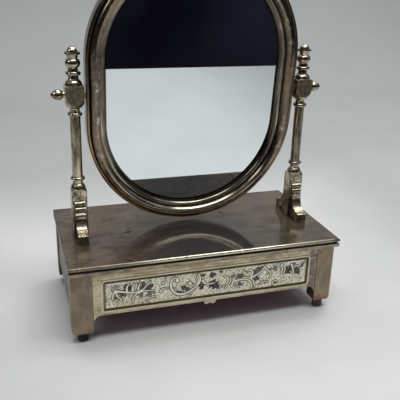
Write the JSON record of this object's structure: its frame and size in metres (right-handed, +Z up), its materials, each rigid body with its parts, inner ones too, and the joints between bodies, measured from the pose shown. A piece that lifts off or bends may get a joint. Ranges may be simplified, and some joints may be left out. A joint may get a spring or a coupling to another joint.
{
  "type": "vanity mirror with drawer",
  "caption": "Tabletop dressing mirror: a rounded upright mirror tilts between turned posts on a footed base with a drawer.",
  "frame": {"origin": "middle of the footprint, on the floor under the feet", "axes": "+Z up, the drawer opens towards -Y, +X to the right of a person facing the mirror"},
  "size_m": [0.2514, 0.137, 0.3288],
  "materials": {
    "tarnished_silver": "silver plate over brass, tarnished brownish grey with bright worn edges",
    "drawer_silver": "silver plate worn to a pale yellowish tone",
    "engraved_silver": "light stippled silver ground with dark leaf scrolls",
    "mirror_glass": "silvered plate glass",
    "backing_board": "plain thin board",
    "black_rubber": "matt black rubber",
    "maroon_felt": "maroon felt",
    "maroon_velvet": "maroon velvet",
    "box_wood": "plain softwood",
    "screw_steel": "steel",
    "bush_brass": "plain brass"
  },
  "bodies": {
    "base": {"back_panel": "tarnished_silver", "base_felt": "maroon_felt", "base_top": "tarnished_silver", "bottom_board": "box_wood", "bracket_left": "tarnished_silver", "bracket_right": "tarnished_silver", "column_left": "tarnished_silver", "column_right": "tarnished_silver", "finial_left": "tarnished_silver", "finial_right": "tarnished_silver", "foot_front_left": "black_rubber", "foot_front_right": "black_rubber", "foot_rear_left": "black_rubber", "foot_rear_right": "black_rubber", "guide_left": "box_wood", "guide_right": "box_wood", "leg_front_left": "tarnished_silver", "leg_front_right": "tarnished_silver", "leg_rear_left": "tarnished_silver", "leg_rear_right": "tarnished_silver", "pivot_block_left": "tarnished_silver", "pivot_block_right": "tarnished_silver", "post_screws": "screw_steel", "side_panel_left": "tarnished_silver", "side_panel_right": "tarnished_silver"},
    "drawer": {"drawer_back": "box_wood", "drawer_bottom": "box_wood", "drawer_front": "drawer_silver", "drawer_front_board": "box_wood", "drawer_lining": "maroon_velvet", "drawer_plate": "engraved_silver", "drawer_pull": "drawer_silver", "drawer_side_left": "box_wood", "drawer_side_right": "box_wood"},
    "mirror": {"back_plate": "tarnished_silver", "back_screws": "screw_steel", "glass_backing": "backing_board", "mirror_frame": "tarnished_silver", "mirror_glass": "mirror_glass", "pivot_bush_left": "bush_brass", "pivot_bush_right": "bush_brass"},
    "pivot_screw_left": {"pivot_screw_left": "tarnished_silver"},
    "pivot_screw_right": {"pivot_screw_right": "tarnished_silver"}
  },
  "joints": [
    {"name": "drawer_slide", "type": "slide", "parent": "base", "child": "drawer", "axis": [0, -1, 0], "range_m": [0, 0.08]},
    {"name": "mirror_tilt", "type": "hinge", "parent": "base", "child": "mirror", "pos_m": [0, 0, 0.2048], "axis": [1, 0, 0], "continuous": true},
    {"name": "pivot_screw_left_turn", "type": "hinge", "parent": "base", "child": "pivot_screw_left", "pos_m": [-0.1138, 0, 0.2048], "axis": [-1, 0, 0], "range_deg": [0, 180]},
    {"name": "pivot_screw_right_turn", "type": "hinge", "parent": "base", "child": "pivot_screw_right", "pos_m": [0.1138, 0, 0.2048], "axis": [1, 0, 0], "range_deg": [0, 180]}
  ]
}
